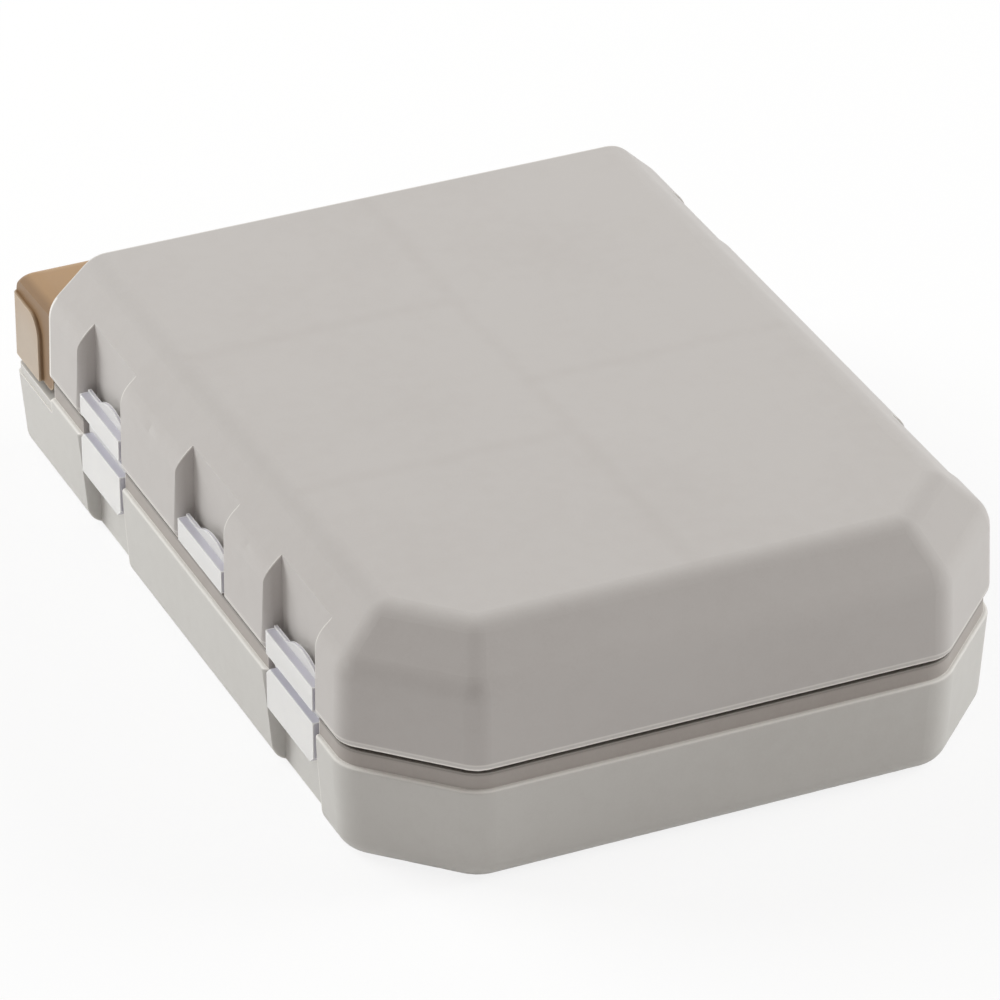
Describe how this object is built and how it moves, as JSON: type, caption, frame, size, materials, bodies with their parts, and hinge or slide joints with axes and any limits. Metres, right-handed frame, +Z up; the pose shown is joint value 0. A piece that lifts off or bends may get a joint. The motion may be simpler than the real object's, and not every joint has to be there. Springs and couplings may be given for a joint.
{
  "type": "terminal tackle box",
  "caption": "Pocket tackle box: two moulded halves on a book hinge, clear flaps over the compartments and a lever latch across the end.",
  "frame": {"origin": "centre of the base's underside", "axes": "+Z up, +Y towards the latch end along the case's length, +X towards the book hinge"},
  "size_m": [0.0969, 0.128, 0.035],
  "materials": {
    "warm_grey_case": "fine satin texture, moulded",
    "tan_lever": "fine satin texture, moulded",
    "clear_flap": "clear, glossy",
    "steel_pin": "drawn wire"
  },
  "bodies": {
    "base": {"base_shell": "warm_grey_case", "hinge_pin": "steel_pin", "latch_pin": "steel_pin", "base_flap_rod_left": "steel_pin", "base_flap_rod_right": "steel_pin"},
    "lid": {"lid_shell": "warm_grey_case", "lid_flap_rod_left": "steel_pin", "lid_flap_rod_right": "steel_pin"},
    "latch": {"end_latch": "tan_lever"},
    "base_flap_left_near": {"base_flap_left_near": "clear_flap"},
    "base_flap_left_far": {"base_flap_left_far": "clear_flap"},
    "base_flap_right_near": {"base_flap_right_near": "clear_flap"},
    "base_flap_right_far": {"base_flap_right_far": "clear_flap"},
    "lid_flap_left_near": {"lid_flap_left_near": "clear_flap"},
    "lid_flap_left_middle": {"lid_flap_left_middle": "clear_flap"},
    "lid_flap_left_far": {"lid_flap_left_far": "clear_flap"},
    "lid_flap_right_near": {"lid_flap_right_near": "clear_flap"},
    "lid_flap_right_far": {"lid_flap_right_far": "clear_flap"}
  },
  "joints": [
    {"name": "lid_hinge", "type": "hinge", "parent": "base", "child": "lid", "pos_m": [0.0486, 0, 0.01675], "axis": [0, 1, 0], "range_deg": [0, 165]},
    {"name": "latch_swing", "type": "hinge", "parent": "base", "child": "latch", "pos_m": [0, 0.062, 0.0169], "axis": [-1, 0, 0], "range_deg": [0, 90]},
    {"name": "base_flap_left_near_hinge", "type": "hinge", "parent": "base", "child": "base_flap_left_near", "pos_m": [-0.0024, 0, 0.01515], "axis": [0, 1, 0], "range_deg": [0, 90]},
    {"name": "base_flap_left_far_hinge", "type": "hinge", "parent": "base", "child": "base_flap_left_far", "pos_m": [-0.0024, 0, 0.01515], "axis": [0, 1, 0], "range_deg": [0, 90]},
    {"name": "base_flap_right_near_hinge", "type": "hinge", "parent": "base", "child": "base_flap_right_near", "pos_m": [0.0024, 0, 0.01515], "axis": [0, -1, 0], "range_deg": [0, 90]},
    {"name": "base_flap_right_far_hinge", "type": "hinge", "parent": "base", "child": "base_flap_right_far", "pos_m": [0.0024, 0, 0.01515], "axis": [0, -1, 0], "range_deg": [0, 90]},
    {"name": "lid_flap_left_near_hinge", "type": "hinge", "parent": "lid", "child": "lid_flap_left_near", "pos_m": [-0.0024, 0, 0.01835], "axis": [0, -1, 0], "range_deg": [0, 90]},
    {"name": "lid_flap_left_middle_hinge", "type": "hinge", "parent": "lid", "child": "lid_flap_left_middle", "pos_m": [-0.0024, 0, 0.01835], "axis": [0, -1, 0], "range_deg": [0, 90]},
    {"name": "lid_flap_left_far_hinge", "type": "hinge", "parent": "lid", "child": "lid_flap_left_far", "pos_m": [-0.0024, 0, 0.01835], "axis": [0, -1, 0], "range_deg": [0, 90]},
    {"name": "lid_flap_right_near_hinge", "type": "hinge", "parent": "lid", "child": "lid_flap_right_near", "pos_m": [0.0024, 0, 0.01835], "axis": [0, 1, 0], "range_deg": [0, 90]},
    {"name": "lid_flap_right_far_hinge", "type": "hinge", "parent": "lid", "child": "lid_flap_right_far", "pos_m": [0.0024, 0, 0.01835], "axis": [0, 1, 0], "range_deg": [0, 90]}
  ],
  "couplings": [
    {"joint": "base_flap_left_near_hinge", "follows": "lid_hinge", "ratio": 0.545},
    {"joint": "base_flap_left_far_hinge", "follows": "lid_hinge", "ratio": 0.545},
    {"joint": "base_flap_right_near_hinge", "follows": "lid_hinge", "ratio": 0.035},
    {"joint": "base_flap_right_far_hinge", "follows": "lid_hinge", "ratio": 0.035},
    {"joint": "lid_flap_left_near_hinge", "follows": "lid_hinge", "ratio": 0.545},
    {"joint": "lid_flap_left_middle_hinge", "follows": "lid_hinge", "ratio": 0.545},
    {"joint": "lid_flap_left_far_hinge", "follows": "lid_hinge", "ratio": 0.545},
    {"joint": "lid_flap_right_near_hinge", "follows": "lid_hinge", "ratio": 0.035},
    {"joint": "lid_flap_right_far_hinge", "follows": "lid_hinge", "ratio": 0.035}
  ]
}
